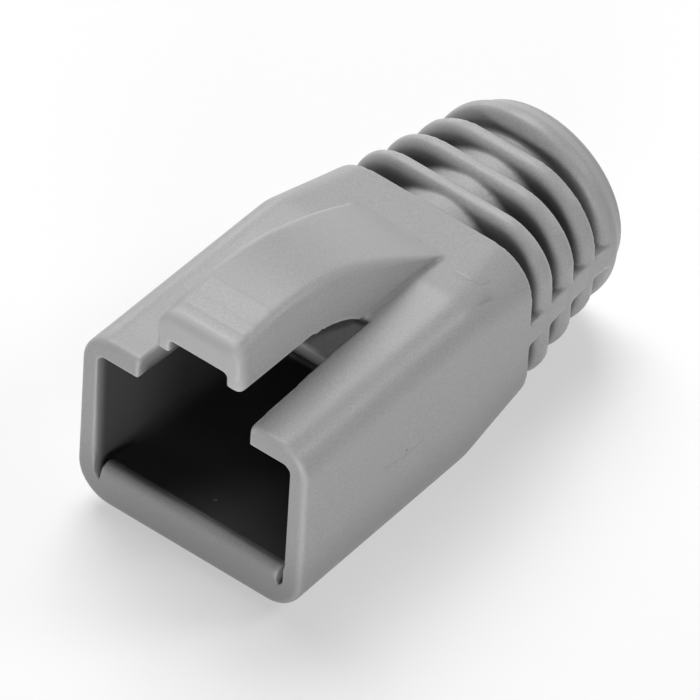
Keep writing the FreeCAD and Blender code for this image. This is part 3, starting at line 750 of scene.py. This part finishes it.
def light_and_shade_by_place(tree, colour, aside, along, height):
    """The colour with painted shade near the ground, a painted highlight on the hood's face and
    painted shade inside.
    """
    # Painted shade towards the ground.
    low_shade = ramp(tree, height, LOW_SHADE_HEIGHTS, -600, 900, LOW_SHADE_SHARE, 0.0)
    colour = mixed(tree, low_shade, colour, grey(SHADE_AND_MARK_LEVEL), -400, 500)
    # Painted highlight on the hood's front face.
    nose = combined(tree, "MULTIPLY", (
        ramp(tree, along, NOSE_DEPTHS, -600, 1100, NOSE_HIGHLIGHT_SHARE, 0.0),
        ramp(tree, height, NOSE_HEIGHTS, -600, 1300),
    ), -400, 1100)
    colour = mixed(tree, nose, colour, grey(PAINTED_HIGHLIGHT_LEVEL), -200, 500)

    # Painted shade inside, darkening deeper in the cavity.
    deep = combined(tree, "MULTIPLY", (
        ramp(tree, along, DEEP_START, -1000, -100),
        ramp(tree, aside, WALL_ASIDE, -1000, -300, 1.0, WALL_SHADE_SHARE),
    ), -800, -100)
    inside_shade = mixed(tree, deep, grey(INSIDE_SHADE_LEVEL), grey(DEEP_SHADE_LEVEL), -600, -100)
    shut_in = combined(tree, "MAXIMUM", (
        cavity_shade_mask(tree, aside, along, height, -1400, -600),
        hollow_shade_mask(tree, aside, along, height, -1400, -1800),
    ), -400, -600)
    inside = combined(tree, "MULTIPLY", (
        shut_in, off_bead_mask(tree, aside, along, height, -1400, -3000), INSIDE_SHADE_SHARE
    ), -200, -600)
    return mixed(tree, inside, colour, inside_shade, 0, 500)


def marked(tree, colour, place):
    """The colour with the scratch, the crescent, the dot and the speck."""
    for row, mark in enumerate(MARKS):
        mask = path_mask(tree, place, mark.path, mark.width, -1400, -4000 - 1000 * row)
        share = math_node(tree, "MULTIPLY", 0, -4000 - 1000 * row, mask, mark.share)
        colour = mixed(tree, share, colour, grey(mark.level), 200 * (row + 1), 500)
    return colour


def moulded_plastic():
    """Soft grey moulded plastic with a fine satin grain, painted highlights on rims and painted
    shade in corners, grooves and inside.
    """
    material = bpy.data.materials.new("soft_grey_plastic")
    material.use_nodes = True
    tree = material.node_tree
    tree.nodes.clear()
    place = skin_place(tree, -2200, 0)
    parts = node(tree, "ShaderNodeSeparateXYZ", -1750, 0)
    feed(tree, parts.inputs["Vector"], place)
    along, height = parts.outputs["Y"], parts.outputs["Z"]
    aside = math_node(tree, "ABSOLUTE", -1600, 0, parts.outputs["X"])
    cloudy = noise(tree, place, CLOUD_SCALE, CLOUD_DETAIL, -1600, 500)
    fine = noise(tree, place, GRAIN_SCALE, GRAIN_DETAIL, -1600, 250)

    colour = edge_highlight_and_shade(tree, grained(tree, cloudy, fine))
    colour = light_and_shade_by_place(tree, colour, aside, along, height)
    colour = marked(tree, colour, place)
    bump = node(tree, "ShaderNodeBump", 1000, -300)
    bump.inputs["Strength"].default_value = GRAIN_STRENGTH
    bump.inputs["Distance"].default_value = GRAIN_HEIGHT
    feed(tree, bump.inputs["Height"], fine)

    shader = node(tree, "ShaderNodeBsdfPrincipled", 1200, 0)
    shader.inputs["IOR"].default_value = REFRACTION
    feed(tree, shader.inputs["Base Color"], colour)
    feed(tree, shader.inputs["Roughness"], ramp(tree, cloudy, SHEEN_SPAN, 1000, 100, *SHEEN))
    feed(tree, shader.inputs["Normal"], bump.outputs["Normal"])
    output = node(tree, "ShaderNodeOutputMaterial", 1500, 0)
    feed(tree, output.inputs["Surface"], shader.outputs["BSDF"])
    return material


# ---------------------------------------------------------------- stage
def seen_rays(tree, x, y):
    """1 for rays that show a surface to the eye, straight, mirrored or through glass."""
    path = node(tree, "ShaderNodeLightPath", x, y)
    kinds = ("Is Camera Ray", "Is Glossy Ray", "Is Transmission Ray")
    return combined(tree, "MAXIMUM", [path.outputs[kind] for kind in kinds], x + 200, y)


def mixed_shaders(tree, share, first, second, x, y):
    """Two shaders mixed by a share."""
    mix = node(tree, "ShaderNodeMixShader", x, y)
    for socket, value in zip(mix.inputs, (share, first, second)):
        feed(tree, socket, value)
    return mix.outputs["Shader"]


def pale_floor():
    """A matt pale floor whose shadows show softened."""
    material = bpy.data.materials.new("pale_floor")
    material.use_nodes = True
    tree = material.node_tree
    shader = tree.nodes["Principled BSDF"]
    shader.inputs["Base Color"].default_value = (FLOOR_GREY, FLOOR_GREY, FLOOR_GREY, 1.0)
    shader.inputs["Roughness"].default_value = FLOOR_ROUGHNESS
    shader.inputs["Specular IOR Level"].default_value = FLOOR_SHINE
    glow = node(tree, "ShaderNodeEmission", 0, -300)
    glow.inputs["Color"].default_value = (1, 1, 1, 1)
    share = math_node(tree, "MULTIPLY", 200, 500, seen_rays(tree, -400, 500), FLOOR_GLOW)
    shown = mixed_shaders(tree, share, shader.outputs["BSDF"], glow.outputs["Emission"], 400, 200)
    feed(tree, tree.nodes["Material Output"].inputs["Surface"], shown)
    return material


def add_floor():
    """A wide pale floor under the boot."""
    mesh = bpy.data.meshes.new("floor")
    corners = [
        (x * FLOOR_REACH, y * FLOOR_REACH, 0) for x, y in ((-1, -1), (1, -1), (1, 1), (-1, 1))
    ]
    mesh.from_pydata(corners, [], [(0, 1, 2, 3)])
    mesh.materials.append(pale_floor())
    floor = bpy.data.objects.new("floor", mesh)
    floor.location.z = low.z
    bpy.context.scene.collection.objects.link(floor)


def add_world():
    """A white surround, plain to the eye and dim as a light."""
    world = bpy.data.worlds.new("white_surround")
    world.use_nodes = True
    tree = world.node_tree
    tree.nodes.clear()
    lights = []
    for level, strength in enumerate((AMBIENT, 1.0)):
        light = node(tree, "ShaderNodeBackground", 150, -200 * level)
        light.inputs["Color"].default_value = (1, 1, 1, 1)
        light.inputs["Strength"].default_value = strength
        lights.append(light.outputs["Background"])
    output = node(tree, "ShaderNodeOutputWorld", 600, 0)
    shown = mixed_shaders(tree, seen_rays(tree, -300, 300), *lights, 400, 0)
    feed(tree, output.inputs["Surface"], shown)
    bpy.context.scene.world = world


def direction(azimuth, elevation):
    """The way from the boot to something at that azimuth and elevation."""
    level = math.cos(elevation)
    return Vector((
        math.sin(azimuth) * level, -math.cos(azimuth) * level, math.sin(elevation)
    ))


def add_lamp(name, azimuth, elevation, distance, size, power):
    """A soft square lamp that looks at the middle of the boot."""
    data = bpy.data.lights.new(name, "AREA")
    data.shape = "SQUARE"
    data.size = size
    data.energy = power
    lamp = bpy.data.objects.new(name, data)
    away = direction(math.radians(azimuth), math.radians(elevation))
    lamp.location = (low + high) / 2 + away * distance
    lamp.rotation_euler = away.to_track_quat("Z", "Y").to_euler()
    bpy.context.scene.collection.objects.link(lamp)


def add_camera():
    """The camera, far off with a long lens, tilted a little about its view."""
    back = direction(CAMERA_AZIMUTH, CAMERA_ELEVATION)
    level_right = Vector((math.cos(CAMERA_AZIMUTH), math.sin(CAMERA_AZIMUTH), 0))
    level_up = back.cross(level_right)
    right = level_right * math.cos(CAMERA_ROLL) + level_up * math.sin(CAMERA_ROLL)
    up = level_up * math.cos(CAMERA_ROLL) - level_right * math.sin(CAMERA_ROLL)
    data = bpy.data.cameras.new("camera")
    data.sensor_width = SENSOR_WIDTH
    data.lens = SENSOR_WIDTH * CAMERA_DISTANCE / PICTURE_WIDTH
    data.clip_start, data.clip_end = CLIPPING
    camera = bpy.data.objects.new("camera", data)
    place = CAMERA_TARGET + back * CAMERA_DISTANCE - right * CAMERA_ASIDE - up * CAMERA_ABOVE
    turned = Matrix((right, up, back)).transposed().to_4x4()
    camera.matrix_world = Matrix.Translation(place) @ turned
    bpy.context.scene.collection.objects.link(camera)
    bpy.context.scene.camera = camera


skin = moulded_skin()
skin.data.materials.clear()
skin.data.materials.append(moulded_plastic())
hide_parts("boot")
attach(skin, "root")

add_floor()
add_world()
for lamp in LAMPS:
    add_lamp(*lamp)
add_camera()
bpy.context.scene.view_settings.view_transform = "Standard"
